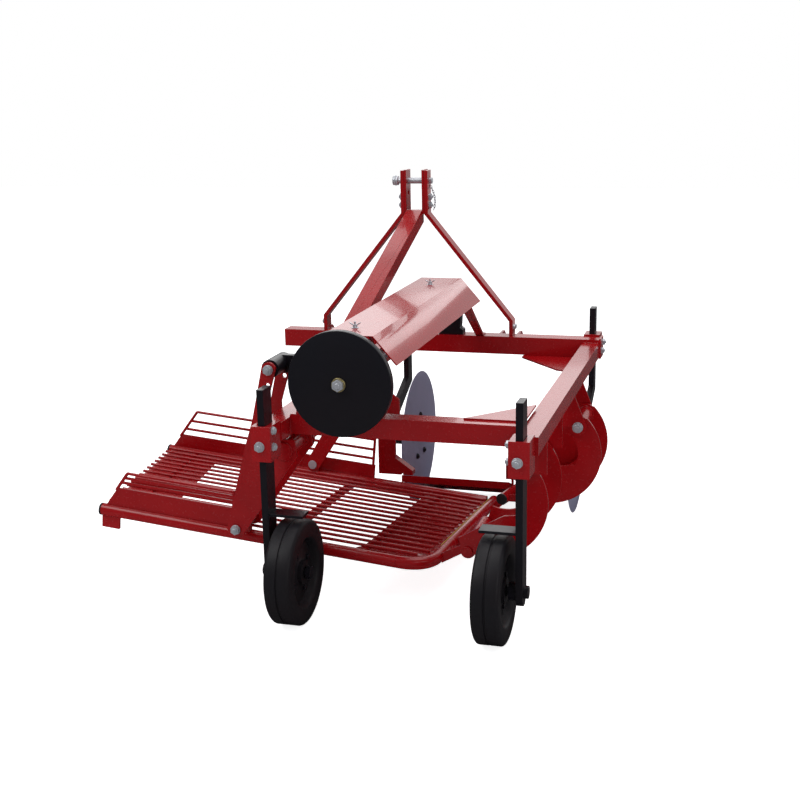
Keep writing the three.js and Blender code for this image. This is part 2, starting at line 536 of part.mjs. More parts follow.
// The tray's own pieces are drawn level, about its beams' centre line, and tilted as one group.
function tray() {
  const sieve = new THREE.Group();
  sieve.position.set(0, 0, TRAY_Z);
  sieve.rotation.y = TRAY_SLOPE;
  digger.add(sieve);
  sieve.updateMatrixWorld(true);
  const local = (x, z) => {
    const p = sieve.worldToLocal(at(x, 0, z));
    return new THREE.Vector2(p.x, p.z);
  };

  const share = (t, a, b) => a + t * (b - a);
  const depth = (y) => (y - TRAY_Y0) / (TRAY_Y1 - TRAY_Y0);
  const leftEdge = (y) => share(depth(y), TRAY_LEFT.rear, TRAY_LEFT.front);

  // Hinge eyes for the left rocker's lower pins, stood on the beams.
  const low = LEFT_PIVOT.clone().add(SWING_ARM);
  const pin = local(low.x, low.y);
  const beam = (x0, x1, y, eye, foot) => {
    const body = joined([rodX(x0, x1, y, 0, BEAM_R), rodY(...eye, pin.x, pin.y, 17),
      block(pin.x - 14, pin.x + 14, ...foot, BEAM_R - 6, pin.y - 8)]);
    return surface(body.subtract(solid(rodY(eye[0] - 1, eye[1] + 1, pin.x, pin.y, 12.5))));
  };
  const tab = block(TRAY_LEFT.rear, TRAY_LEFT.rear + 60, TRAY_Y0 - 4, TRAY_Y0 + 4, -BEAM_R - 38,
    -BEAM_R + 4);
  piece('tray_rear_beam', weld(beam(TRAY_LEFT.rear, corner.x - RIM_LEAD - GAP, TRAY_Y0,
    [LEVER_Y[0] + PLATE + 5, LEVER_Y[1] - 5], [TRAY_Y0 - 12, TRAY_Y0 + 12]), tab), red(), sieve);
  const armFace = FRONT_ARM_Y + PLATE + 5;
  piece('tray_front_beam', beam(TRAY_LEFT.front, rightEdge(TRAY_Y1 - BEAM_R) - GAP, TRAY_Y1,
    [armFace, TRAY_Y1 - 2.5], [TRAY_Y1 - 17, TRAY_Y1 - 2.5]), red(), sieve);

  // Bent tube rim: from the rear beam round the corner and forward to the front beam.
  const rimBody = joined([bentTube(rimLine(), BEAM_R), ...rightLugs(sieve)]);
  const eye = local(RIGHT_PIVOT.rear.x + SWING_ARM.x, RIGHT_PIVOT.rear.y + SWING_ARM.y);
  piece('tray_rim', surface(rimBody.subtract(
    solid(rodY(HOOK_Y.rear[0], HOOK_Y.rear[1] + PLATE, eye.x, eye.y, OPEN_BORE)))), red(), sieve);

  // Sieve: round rods across, carried by three flat bars that run fore and aft below them.
  const pitch = (TRAY_Y1 - TRAY_Y0) / (SIEVE_RODS + 1);
  const bars = [0.1, 0.62, 0.9].map((t) => {
    const x = (y) => share(t, leftEdge(y), rightEdge(y) - 30);
    const y0 = TRAY_Y0 + BEAM_R + GAP, y1 = TRAY_Y1 - BEAM_R - GAP;
    const bar = outline([[x(y0) - 4, y0], [x(y0) + 4, y0], [x(y1) + 4, y1], [x(y1) - 4, y1]]);
    return plateXY(bar, -16, 30);
  });
  const rods = Array.from({ length: SIEVE_RODS }, (_, i) => {
    const y = TRAY_Y0 + (i + 1) * pitch;
    return rodX(leftEdge(y) + 8, rightEdge(y - SIEVE_ROD_R) - 1, y, 14 + SIEVE_ROD_R - 1, SIEVE_ROD_R, 8);
  });
  // Sheets close the sieve under the rods along its left and right edges.
  const sheetY = [BEAM_R + 20, BEAM_R + 32, BEAM_R + 48, 100,
    TRAY_Y1 - TRAY_Y0 - BEAM_R - GAP].map((d) => TRAY_Y0 + d);
  const sheets = [[leftEdge, 8, 200], [rightEdge, -200, -GAP]].map(([edge, a, b]) => plateXY(outline([
    ...sheetY.map((y) => [edge(y) + b, y]), ...sheetY.map((y) => [edge(y) + a, y]).reverse()]), 2, 4));
  piece('tray_sieve', weld(...bars, ...rods, ...sheets), red(), sieve);

  // Side sheets with fences of three rods above them, at the rear and along the front.
  const fence = (name, y, left, right, sheetTop, rodHeights) => {
    const rake = 0.62;
    const endX = (z) => left + 14 + rake * (z - BEAM_R);
    const sheet = outline([[endX(BEAM_R), BEAM_R + GAP], [right, BEAM_R + GAP], [right, sheetTop],
      [endX(sheetTop), sheetTop]]);
    const topZ = rodHeights[rodHeights.length - 1];
    const rails = rodHeights.map((z) => rodX(endX(z), right - 6, y + 2, z, SIEVE_ROD_R, 8));
    const ends = [rod(at(endX(sheetTop - 8), y + 2, sheetTop - 8), at(endX(topZ), y + 2, topZ),
      SIEVE_ROD_R, 8),
      rod(at(right - 8, y + 2, sheetTop - 8), at(right - 8, y + 2, topZ + SIEVE_ROD_R), SIEVE_ROD_R, 8)];
    const span = right - 8 - endX(topZ);
    const posts = span > 500 ? [rod(at(right - span / 2, y + 2, sheetTop - 8),
      at(right - span / 2, y + 2, topZ + SIEVE_ROD_R - 1), SIEVE_ROD_R, 8)] : [];
    piece(name, weld(plateXZ(sheet, y, 4), ...rails, ...ends, ...posts), red(), sieve);
  };
  fence('tray_rear_fence', TRAY_Y0 - 2, TRAY_LEFT.rear, -270, 79, [98, 114, 130]);
  fence('tray_front_fence', TRAY_Y1 - 2, TRAY_LEFT.front, -20, 66, [88, 120, 156]);
  sideRail();
}

const low = (place) => RIGHT_PIVOT[place].clone().add(SWING_ARM);
const rimZ = (x) => TRAY_Z - Math.tan(TRAY_SLOPE) * x;
const rimOuter = (y) => (rightEdge(y) + 2 * BEAM_R / Math.cos(lean)) * Math.cos(TRAY_SLOPE);

// A lug plate from the rim out to an eye or the side rail.
function lug(x0, x1, z1, y) {
  const z0 = rimZ(x0);
  return plateXZ(outline([[x0, z0 - 15], [x1, z1 - 15], [x1, z1 + 10], [x0, z0 + 15]]), y, PLATE);
}

// Eye and lugs for the right rear rocker, turned into the tray's own frame.
function rightLugs(sieve) {
  const into = sieve.matrixWorld.clone().invert();
  const eye = low('rear');
  return [rodY(HOOK_Y.rear[0] + PLATE + 5, HOOK_Y.rear[1] - 5, eye.x, eye.y, OPEN_BORE + 6),
    ...[150, 290].map((y) => lug(rimOuter(y) - 5, eye.x, eye.y, y))].map((g) => g.applyMatrix4(into));
}

// The rail on the tray's right side, with the eye for the right front rocker.
function sideRail() {
  const eye = low('front');
  const { y0, y1, z: railZ } = RAIL;
  const railX = (y) => RAIL.x0 + (RAIL.x1 - RAIL.x0) * (y - y0) / (y1 - y0);
  const body = joined([rod(at(railX(y0), y0, railZ), at(railX(y1), y1, railZ), BEAM_R),
    rodY(HOOK_Y.front[0] + PLATE + 5, HOOK_Y.front[1] - 5, eye.x, eye.y, OPEN_BORE + 6),
    ...[640, 740].map((y) => block(railX(y), eye.x, y - 4, y + 4, railZ - 12, railZ + 12)),
    ...[652, 704].map((y) => lug(rimOuter(y) + 3, railX(y), railZ, y - 4))]);
  piece('tray_side_rail', surface(body.subtract(
    solid(rodY(HOOK_Y.front[0], HOOK_Y.front[1] + PLATE, eye.x, eye.y, OPEN_BORE)))), red());
}

// Pins through the rockers' lower eyes; each turns with its rocker.
function lowerPins() {
  const pinned = (name, eye, y0, y1, material) => {
    piece(name, weld(rodY(y0 - 6, y1 + 6, eye.x, eye.y, 12), rodY(y0 - 6 - GAP, y0 - GAP, eye.x, eye.y, 15),
      rodY(y1 + GAP, y1 + 6 + GAP, eye.x, eye.y, 15)), material);
  };
  const leftEye = LEFT_PIVOT.clone().add(SWING_ARM);
  pinned('lever_lower_pin', leftEye, LEVER_Y[0], LEVER_Y[1] + PLATE, zinc());
  pinned('right_rear_lower_pin', low('rear'), HOOK_Y.rear[0], HOOK_Y.rear[1] + PLATE, red());
  pinned('right_front_lower_pin', low('front'), HOOK_Y.front[0], HOOK_Y.front[1] + PLATE, red());
  piece('front_arm_pin', weld(
    rodY(FRONT_ARM_Y - 6, TRAY_Y1 - 12, leftEye.x, leftEye.y, 12),
    rodY(FRONT_ARM_Y - 6, FRONT_ARM_Y - GAP, leftEye.x, leftEye.y, 15),
  ), zinc());
}

// ---------------------------------------------------------------- share
function digShare() {
  const { left, right, y0, y1, z0, z1, t } = SHARE;
  const slope = (z0 - z1) / (y1 - y0);
  const split = y1 - 90;
  const zAt = (y) => z0 - slope * (y - y0);
  const slab = (ya, yb, tip) => outline([[ya, zAt(ya) - t], [ya, zAt(ya)], [yb, zAt(yb)], [yb,
    zAt(yb) - (tip ? 2 : t)]]);
  piece('share_plate', weld(plateYZ(slab(y0, split - GAP, false), left, right - left),
    block(left, right, y0, y0 + PLATE, z0 - 26, z0 - 4)), red());
  piece('share_blade', plateYZ(slab(split, y1, true), left, right - left), steel());
  // Plates hung from the side bars hold the share; the left one has a strut down to the share's rear edge.
  const top = FRAME_Z - GAP;
  const leftPlate = outline([[-100, top], [-80, 500], [-21, 400], [-21, 190], [left - GAP, 190],
    [left - GAP, 210],
    [41, 233], [41, 380], [58, 400], [58, 458], [-47, top]]);
  const strut = outline([[-4, 250], [22, 262], [left + 40, 206], [left + 40, z0 + GAP], [left + 10,
    z0 + GAP]]);
  piece('left_share_leg', weld(plateXZ(leftPlate, y0 + 2, 12), plateXZ(strut, y0 + 2, 34)), red());
  const rightPlate = outline([[right + GAP, 160], [right + 8, 160], [right + 8, 218], [520, 222], [560, 212],
    [672, 212], [672, 392], [650, 430], [650, top], [627, top], [598, 450], [540, 362], [right, 300],
    [right - 19, 240], [right - 19, z0 + GAP], [right + GAP, z0 + GAP]]);
  piece('right_share_leg', plateXZ(rightPlate, y0 + 30.5, 6), red());
}

frame();
hitch();
depthWheel('left', 1);
depthWheel('right', -1);
coulter('left');
coulter('right');
drive();
connectingRod();
leftRocker();
rightRocker('rear');
rightRocker('front');
tray();
lowerPins();
digShare();

// The origin goes to the bottom centre of the whole machine's bounding box.
const bounds = new THREE.Box3().setFromObject(digger, true);
const middle = bounds.getCenter(new THREE.Vector3());
digger.position.set(-middle.x, -middle.y, -bounds.min.z);

export default digger;
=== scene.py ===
"""Side-delivery potato digger: paint, castings, fasteners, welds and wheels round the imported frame."""
import json
import math

import bpy
import bmesh
import numpy as np
from mathutils import Matrix, Vector
from bpy.props import FloatProperty, FloatVectorProperty, IntProperty, PointerProperty


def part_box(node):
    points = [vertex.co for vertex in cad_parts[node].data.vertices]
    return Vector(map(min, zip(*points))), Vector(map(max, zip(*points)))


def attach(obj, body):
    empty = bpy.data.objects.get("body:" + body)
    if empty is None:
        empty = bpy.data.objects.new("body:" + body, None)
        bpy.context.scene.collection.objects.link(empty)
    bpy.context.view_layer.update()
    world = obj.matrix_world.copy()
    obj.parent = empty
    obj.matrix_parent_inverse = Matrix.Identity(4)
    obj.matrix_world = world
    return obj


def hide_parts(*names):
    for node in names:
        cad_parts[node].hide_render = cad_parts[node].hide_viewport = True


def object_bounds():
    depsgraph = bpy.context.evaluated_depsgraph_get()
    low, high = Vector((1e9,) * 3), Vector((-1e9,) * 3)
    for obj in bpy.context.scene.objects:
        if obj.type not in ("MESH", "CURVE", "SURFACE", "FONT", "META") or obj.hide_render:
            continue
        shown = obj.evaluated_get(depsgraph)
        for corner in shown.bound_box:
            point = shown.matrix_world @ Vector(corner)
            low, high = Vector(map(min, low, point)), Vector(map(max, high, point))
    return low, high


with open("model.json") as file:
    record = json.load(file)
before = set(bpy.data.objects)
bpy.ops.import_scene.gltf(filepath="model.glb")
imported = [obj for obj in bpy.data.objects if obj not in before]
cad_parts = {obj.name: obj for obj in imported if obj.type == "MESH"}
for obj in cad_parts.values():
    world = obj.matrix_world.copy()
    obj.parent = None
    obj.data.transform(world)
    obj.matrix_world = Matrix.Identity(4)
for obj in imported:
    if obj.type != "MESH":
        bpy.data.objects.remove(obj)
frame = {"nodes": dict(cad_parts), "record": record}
CAD_BOX = [list(corner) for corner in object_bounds()]

bl_info = {
    "name": "Potato Digger",
    "version": (1, 0, 0),
    "blender": (4, 5, 0),
    "location": "View3D > Sidebar > Digger",
    "description": "Builds the finishes and fittings of a side-delivery potato digger",
    "category": "Add Mesh",
}

MM = 0.001
HITCH_X = (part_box("mast")[0].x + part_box("mast")[1].x) / 2
REAR_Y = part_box("rear_crossbar")[0].y
CROSSBAR_HEIGHT = 0.540
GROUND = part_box("rear_crossbar")[0].z - CROSSBAR_HEIGHT

# The tray: how much it rises for each step to the left, its beams' height at the hitch line and its tubes'
# radius in millimetres, and where its tubes end.
TRAY_RISE, TRAY_HEIGHT, TUBE = 0.0956, 171.5, 19.0
BEAM_ENDS = (("rear", -716, 68), ("front", -790, 700))
RAIL_ENDS = (("rear", (446, 621, 175), -1.0), ("front", (556, 1040, 175), 1.0))
# The line on the rim starts at x and y, leans outwards to the front, and lies inwards of and above the axis.
RIM_LINE = {"x": 345.6, "y": 149.2, "lean": 62 / 632, "inset": 9, "lift": 16.9}

# The rockers: the left tube's axis and its plates' faces in millimetres, the right pivots' x in millimetres
# and height in metres, and the radii of the circles that their weld beads follow.
LEFT_PIVOT = (-67, 492)
LEVER_FACES = (-16, -8, 116, 124, 656, 664)
RIGHT_PIVOTS = (("rear", 613), ("front", 697))
PIVOT_HEIGHT = 0.443
LEFT_RING, RIGHT_RING = 0.0265, 0.0245

# The outer faces of the mast's head plates, in millimetres from its middle.
HEAD_FACE = 51.3

# A weld bead's radius runs between BEAD_LOW and BEAD_LOW + BEAD_RIPPLE of its full size.
BEAD_LOW, BEAD_RIPPLE = 0.86, 0.16

# The wing nuts on the shaft cover, in millimetres.
WING_NUTS = ((136, 64), (148, 859))

# Half of a depth wheel's section from the hub out to the middle of the tread: radius and half width as shares
# of the wheel's own.
WHEEL_SECTION = [(0.1045, -0.81), (0.23, -0.80), (0.235, -0.52), (0.26, -0.46), (0.55, -0.34), (0.60, -0.36),
                 (0.625, -0.62), (0.64, -0.78), (0.66, -0.90), (0.69, -0.96), (0.74, -0.985), (0.82, -1.0),
                 (0.90, -0.995), (0.945, -0.965), (0.975, -0.91), (0.993, -0.84), (1.0, -0.76), (1.0, -0.09),
                 (0.992, -0.06), (0.978, -0.04), (0.978, 0.04)]

# Each soft lamp's name, place and side in metres, and power in watts.
LAMPS = (("key", (-2.2, -2.6, 4.2), 2.6, 75), ("top", (0.4, 0.6, 4.6), 3.4, 80),
         ("fill", (3.6, -2.4, 2.2), 2.6, 24), ("far", (-1.0, 4.2, 3.0), 3.0, 36))

RED, BLACK, RUBBER = "red_paint", "black_paint", "wheel_rubber"
DISC_STEEL, SHAFT_STEEL, ZINC = "disc_steel", "shaft_steel", "zinc"


def spot(x, y, z):
    """The place, in metres in the frame, of hitch-centred millimetres that count forward from the rear
    crossbar's rear face and up from CROSSBAR_HEIGHT below its underside."""
    return np.array([HITCH_X + x * MM, REAR_Y + y * MM, GROUND + z * MM])


# ------------------------------------------------------------------ surfaces
def grid_faces(rows, columns, wrap_rows=False, wrap_columns=True):
    """Quads of a grid of points, row by row, joined round where it wraps."""
    r = np.arange(rows if wrap_rows else rows - 1)
    c = np.arange(columns if wrap_columns else columns - 1)
    r, c = np.meshgrid(r, c, indexing="ij")
    r1, c1 = (r + 1) % rows, (c + 1) % columns
    quads = np.stack([r * columns + c, r * columns + c1, r1 * columns + c1, r1 * columns + c], -1)
    return quads.reshape(-1, 4)


def frame_about(axis):
    """Two unit vectors square to an axis and to each other, as rows after the axis."""
    w = np.asarray(axis, float) / np.linalg.norm(axis)
    helper = np.array([0.0, 0.0, 1.0]) if abs(w[2]) < 0.9 else np.array([1.0, 0.0, 0.0])
    u = np.cross(helper, w)
    u /= np.linalg.norm(u)
    return u, np.cross(w, u), w


def turned(profile, centre, axis, sides=48, outline=None):
    """Point = centre + h(s) axis + r(s) k(a) (u cos a + v sin a): a profile (r, h) carried round an axis.

    outline k(a) scales the radius by direction, as for a hexagon. Profiles that start and end on the axis are
    closed by their poles, and the others wrap."""
    profile = np.asarray(profile, float)
    u, v, w = frame_about(axis)
    a = np.arange(sides) * 2 * np.pi / sides
    ring = np.cos(a)[:, None] * u + np.sin(a)[:, None] * v
    radius = profile[:, 0][:, None] * (1.0 if outline is None else outline(a)[None, :])
    points = centre + profile[:, 1][:, None, None] * w + radius[..., None] * ring[None]
    wraps = profile[0, 0] > 1e-9 and profile[-1, 0] > 1e-9
    return points.reshape(-1, 3), grid_faces(len(profile), sides, wrap_rows=wraps)


def hexagon(a):
    """Radius of a hexagon of unit flat distance in direction a."""
    turn = np.pi / 3
    return 1 / np.cos((a + turn / 2) % turn - turn / 2)


def swept(path, section, up=(0.0, 0.0, 1.0), taper=None, loop=False):
    """A section carried along a path: path(s) + taper(s) (section_x(t) side(s) + section_y(t) top(s)).

    side is tangent x up, and top is side x tangent."""
    path = np.asarray(path, float)
    section = np.asarray(section, float)
    ahead = np.roll(path, -1, 0) - np.roll(path, 1, 0)
    if not loop:
        ahead[0], ahead[-1] = path[1] - path[0], path[-1] - path[-2]
    ahead /= np.linalg.norm(ahead, axis=1)[:, None]
    side = np.cross(ahead, np.asarray(up, float))
    side /= np.linalg.norm(side, axis=1)[:, None]
    top = np.cross(side, ahead)
    size = np.ones(len(path)) if taper is None else taper
    points = (path[:, None] + size[:, None, None] * (section[None, :, 0, None] * side[:, None]
              + section[None, :, 1, None] * top[:, None]))
    return points.reshape(-1, 3), grid_faces(len(path), len(section), wrap_rows=loop)


def circle(radius, sides=12):
    """radius (cos a, sin a), as a section to sweep."""
    a = np.arange(sides) * 2 * np.pi / sides
    return radius * np.stack([np.cos(a), np.sin(a)], 1)


def along(points, step):
    """Points spaced evenly, about step apart, on a polyline."""
    points = np.asarray(points, float)
    lengths = np.linalg.norm(np.diff(points, axis=0), axis=1)
    s = np.concatenate([[0], np.cumsum(lengths)])
    t = np.linspace(0, s[-1], max(2, int(round(s[-1] / step)) + 1))
    return np.stack([np.interp(t, s, points[:, k]) for k in range(3)], 1)


def bead(path, radius=3.2 * MM, pitch=4.5 * MM):
    """A weld bead along a seam, closed at its ends: a round section whose radius is
    radius (BEAD_LOW + BEAD_RIPPLE |sin(pi s / pitch)|) at the distance s."""
    line = along(path, pitch / 4)
    quarters = np.arange(len(line))
    taper = BEAD_LOW + BEAD_RIPPLE * np.abs(np.sin(np.pi * quarters / 4))
    taper[[0, -1]] = 0.0
    run = line[-1] - line[0]
    lying = abs(run[2]) < 0.8 * np.linalg.norm(run)
    up = (0.0, 0.0, 1.0) if lying else (1.0, 0.0, 0.0)
    return swept(line, circle(radius, 8), up=up, taper=taper)


def weld_ring(centre, tube, radius):
    """A weld bead round a tube that runs fore and aft, along centre + tube (cos a, 0, sin a), with the radius
    of a bead."""
    steps = np.arange(59)
    a = steps * 2 * np.pi / 59
    path = centre + tube * np.stack([np.cos(a), 0 * a, np.sin(a)], 1)
    taper = BEAD_LOW + BEAD_RIPPLE * np.abs(np.sin(steps * np.pi / 2))
    return swept(path, circle(radius, 8), up=(0, 1, 0), loop=True, taper=taper)


def hex_bolt(centre, axis, size=8.0, washer=True, tail=0.0):
    """A hexagon head with a chamfered crown, on a washer, with the tail of its thread standing out of it.

    size is the thread's width and tail the length that stands out, both in millimetres."""
    flat, height, plate = size * 0.86 * MM, size * 0.6 * MM, size * 0.16 * MM
    shapes = []
    lift = 0.0
    axis = np.asarray(axis, float)
    if washer:
        r = flat * 1.25
        ring = [(0, 0), (r, 0), (r, plate * 0.8), (r * 0.96, plate), (0, plate)]
        shapes.append(turned(ring, centre, axis, 28))
        lift = plate
    head = [(0, lift), (flat * 0.97, lift), (flat, lift + height * 0.06), (flat, lift + height * 0.86),
            (flat * 0.9, lift + height), (flat * 0.45, lift + height), (0, lift + height)]
    shapes.append(turned(head, centre, axis, 24, outline=hexagon))
    if tail:
        rod = size * 0.5 * MM
        z0, z1 = lift + height * 0.5, lift + height + tail * MM
        shank = [(0, z0), (rod, z0), (rod, z1 - rod * 0.2), (rod * 0.8, z1), (0, z1)]
        shapes.append(turned(shank, centre, axis, 16))
    return shapes


def piece(name, shapes, body, material, sharp=35.0):
    """One object from several closed surfaces, riding on a CAD body; edges over sharp degrees stay crisp."""
    verts, faces, base = [], [], 0
    for points, quads in shapes:
        verts.append(points)
        faces.append(quads + base)
        base += len(points)
    mesh = bpy.data.meshes.new(name)
    mesh.from_pydata(np.concatenate(verts).tolist(), [], np.concatenate(faces).tolist())
    work = bmesh.new()
    work.from_mesh(mesh)
    bmesh.ops.remove_doubles(work, verts=work.verts, dist=2e-6)
    bmesh.ops.dissolve_degenerate(work, edges=work.edges, dist=2e-6)
    bmesh.ops.recalc_face_normals(work, faces=work.faces)
    work.to_mesh(mesh)
    work.free()
    mesh.polygons.foreach_set("use_smooth", np.ones(len(mesh.polygons), bool))
    mesh.set_sharp_from_angle(angle=math.radians(sharp))
    mesh.materials.append(material)
    obj = bpy.data.objects.new(name, mesh)
    bpy.context.scene.collection.objects.link(obj)
    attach(obj, body)
    return obj


# ------------------------------------------------------------------ node groups
def new_group(name, inputs, outputs):
    """An empty shader group with its sockets, and its input and output nodes."""
    group = bpy.data.node_groups.new(name, "ShaderNodeTree")
    for label, kind, value in inputs:
        socket = group.interface.new_socket(name=label, in_out="INPUT", socket_type=kind)
        if value is not None:
            socket.default_value = value
    for label, kind in outputs:
        group.interface.new_socket(name=label, in_out="OUTPUT", socket_type=kind)
    return group, group.nodes.new("NodeGroupInput"), group.nodes.new("NodeGroupOutput")


def noise(tree, vector, scale, detail=3.0, roughness=0.5):
    """Noise from 0 to 1, with scale blotches to the metre."""
    node = tree.nodes.new("ShaderNodeTexNoise")
    node.inputs["Detail"].default_value = detail
    node.inputs["Roughness"].default_value = roughness
    node.inputs["Scale"].default_value = scale
    tree.links.new(vector, node.inputs["Vector"])
    return node.outputs["Fac"]


def ramp(tree, value, low, high):
    """0 below low, 1 above high."""
    node = tree.nodes.new("ShaderNodeMapRange")
    node.inputs["From Min"].default_value = low
    node.inputs["From Max"].default_value = high
    tree.links.new(value, node.inputs["Value"])
    return node.outputs["Result"]


def maths(tree, kind, a, b):
    """One operation on two numbers or sockets."""
    node = tree.nodes.new("ShaderNodeMath")
    node.operation = kind
    for socket, value in zip(node.inputs, (a, b)):
        if isinstance(value, (int, float)):
            socket.default_value = value
        else:
            tree.links.new(value, socket)
    return node.outputs[0]


def blend_colour(tree, factor, a, b):
    """Colour a where the factor is 0 and colour b where it is 1."""
    node = tree.nodes.new("ShaderNodeMix")
    node.data_type = "RGBA"
    sockets = [s for s in node.inputs if s.enabled]
    for socket, value in zip(sockets, (factor, a, b)):
        if isinstance(value, (int, float, tuple)):
            socket.default_value = value
        else:
            tree.links.new(value, socket)
    return [s for s in node.outputs if s.enabled][0]


def coat_group():
    """Sprayed paint: tone drift, faint dust on level faces, and an orange-peel height."""
    group, source, sink = new_group(
        "Sprayed Paint",
        [("Vector", "NodeSocketVector", None), ("Colour", "NodeSocketColor", (0.5, 0.0, 0.0, 1.0)),
         ("Dust Colour", "NodeSocketColor", (0.4, 0.35, 0.3, 1.0)), ("Drift", "NodeSocketFloat", 0.15),
         ("Dust", "NodeSocketFloat", 0.1), ("Gloss", "NodeSocketFloat", 0.25)],
        [("Colour", "NodeSocketColor"), ("Roughness", "NodeSocketFloat"), ("Height", "NodeSocketFloat")])
    vector = source.outputs["Vector"]
    broad = noise(group, vector, 5.0, 3.0)
    fine = noise(group, vector, 90.0, 3.0, 0.6)
    shade = maths(group, "MULTIPLY", ramp(group, broad, 0.3, 0.75), source.outputs["Drift"])
    deep = blend_colour(group, shade, source.outputs["Colour"], (0.02, 0.0, 0.0, 1.0))
    normal = group.nodes.new("ShaderNodeNewGeometry")
    level = group.nodes.new("ShaderNodeSeparateXYZ")
    group.links.new(normal.outputs["Normal"], level.inputs[0])
    lying = ramp(group, level.outputs["Z"], 0.6, 1.0)
    speckle = ramp(group, maths(group, "MULTIPLY", broad, fine), 0.2, 0.42)
    dust = maths(group, "MULTIPLY", maths(group, "MULTIPLY", lying, speckle), source.outputs["Dust"])
    group.links.new(blend_colour(group, dust, deep, source.outputs["Dust Colour"]), sink.inputs["Colour"])
    rough = maths(group, "ADD", source.outputs["Gloss"], maths(group, "MULTIPLY", fine, 0.12))
    group.links.new(maths(group, "ADD", rough, maths(group, "MULTIPLY", dust, 0.6)), sink.inputs["Roughness"])
    peel = noise(group, vector, 240.0, 1.0)
    waves = noise(group, vector, 26.0, 2.0)
    group.links.new(maths(group, "ADD", maths(group, "MULTIPLY", peel, 0.06), waves), sink.inputs["Height"])
    return group


def metal_group():
    """Rolled or turned metal: broad blotches of a stain over fine streaks, which roughen it."""
    group, source, sink = new_group(
        "Worked Metal",
        [("Vector", "NodeSocketVector", None), ("Colour", "NodeSocketColor", (0.5, 0.5, 0.55, 1.0)),
         ("Stain", "NodeSocketColor", (0.25, 0.24, 0.3, 1.0)), ("Amount", "NodeSocketFloat", 0.4),
         ("Gloss", "NodeSocketFloat", 0.3)],
        [("Colour", "NodeSocketColor"), ("Roughness", "NodeSocketFloat"), ("Height", "NodeSocketFloat")])
    vector = source.outputs["Vector"]
    broad = noise(group, vector, 9.0, 4.0, 0.6)
    streak = noise(group, vector, 160.0, 4.0, 0.7)
    mask = maths(group, "MULTIPLY", ramp(group, broad, 0.4, 0.7), source.outputs["Amount"])
    group.links.new(blend_colour(group, mask, source.outputs["Colour"], source.outputs["Stain"]),
                    sink.inputs["Colour"])
    rough = maths(group, "ADD", source.outputs["Gloss"], maths(group, "MULTIPLY", streak, 0.22))
    group.links.new(rough, sink.inputs["Roughness"])
    group.links.new(streak, sink.inputs["Height"])
    return group


def material(name, group, values, bump, distance, metallic=0.0, coat=0.0, stretch=(1.0, 1.0, 1.0)):
    """A Principled surface fed by one of the node groups, on Object coordinates scaled by stretch."""
    mat = bpy.data.materials.new(name)
    mat.use_nodes = True
    tree = mat.node_tree
    shader = tree.nodes["Principled BSDF"]
    shader.inputs["Metallic"].default_value = metallic
    shader.inputs["Coat Weight"].default_value = coat
    shader.inputs["Coat Roughness"].default_value = 0.06
    shader.inputs["Specular IOR Level"].default_value = 0.3
    where = tree.nodes.new("ShaderNodeTexCoord")
    mapping = tree.nodes.new("ShaderNodeMapping")
    mapping.inputs["Scale"].default_value = stretch
    tree.links.new(where.outputs["Object"], mapping.inputs["Vector"])
    node = tree.nodes.new("ShaderNodeGroup")
    node.node_tree = group
    for label, value in values.items():
        node.inputs[label].default_value = value
    tree.links.new(mapping.outputs["Vector"], node.inputs["Vector"])
    tree.links.new(node.outputs["Colour"], shader.inputs["Base Color"])
    tree.links.new(node.outputs["Roughness"], shader.inputs["Roughness"])
    lift = tree.nodes.new("ShaderNodeBump")
    lift.inputs["Strength"].default_value = bump
    lift.inputs["Distance"].default_value = distance
    tree.links.new(node.outputs["Height"], lift.inputs["Height"])
    tree.links.new(lift.outputs["Normal"], shader.inputs["Normal"])
    return mat


# ------------------------------------------------------------------ settings
class DIGGER_PG_finish(bpy.types.PropertyGroup):
    red: FloatVectorProperty(name="Red paint", description="Colour of the frame's gloss paint",
                             subtype="COLOR", size=4, min=0, max=1, default=(0.40, 0.003, 0.006, 1.0))
    black: FloatVectorProperty(name="Black paint", description="Colour of the posts, rod and flywheel",
                               subtype="COLOR", size=4, min=0, max=1, default=(0.008, 0.008, 0.012, 1.0))
    rubber: FloatVectorProperty(name="Wheel rubber", description="Colour of the depth wheels",
                                subtype="COLOR", size=4, min=0, max=1, default=(0.010, 0.010, 0.013, 1.0))
    disc: FloatVectorProperty(name="Disc steel", description="Colour of the coulter discs and the blade",
                              subtype="COLOR", size=4, min=0, max=1, default=(0.33, 0.33, 0.47, 1.0))
    dust: FloatProperty(name="Dust", description="How much dust lies on level faces", subtype="FACTOR",
                        min=0, max=1, default=0.004)


class DIGGER_PG_fittings(bpy.types.PropertyGroup):
    frame_bolt: FloatProperty(name="Frame bolt", description="Width of the frame bolts' threads, in mm",
                              min=6, max=30, default=14.0)
    bead_size: FloatProperty(name="Weld bead", description="Radius of the weld beads", subtype="DISTANCE",
                             unit="LENGTH", min=0.001, max=0.008, default=0.0032)
    edge: FloatProperty(name="Edge rounding", description="Rounding of the cut edges", subtype="DISTANCE",
                        unit="LENGTH", min=0, max=0.004, default=0.0014)
    treads: IntProperty(name="Wheel sides", description="Steps round a wheel", min=24, max=192, default=96)


class DIGGER_PG_camera(bpy.types.PropertyGroup):
    lens: FloatProperty(name="Lens", description="Focal length on a 36 mm sensor, in mm", min=10, max=200,
                        default=57.07)
    place: FloatVectorProperty(name="Place", description="From the hitch line and the rear crossbar",
                               subtype="TRANSLATION", unit="LENGTH", size=3, default=(1.241, -3.2934, 1.5181))
    turn: FloatVectorProperty(name="Turn", description="Yaw, pitch and roll of the camera", subtype="EULER",
                              unit="ROTATION", size=3,
                              default=(0.28315, math.radians(-14.0878), math.radians(-1.1635)))


MATERIALS = {}


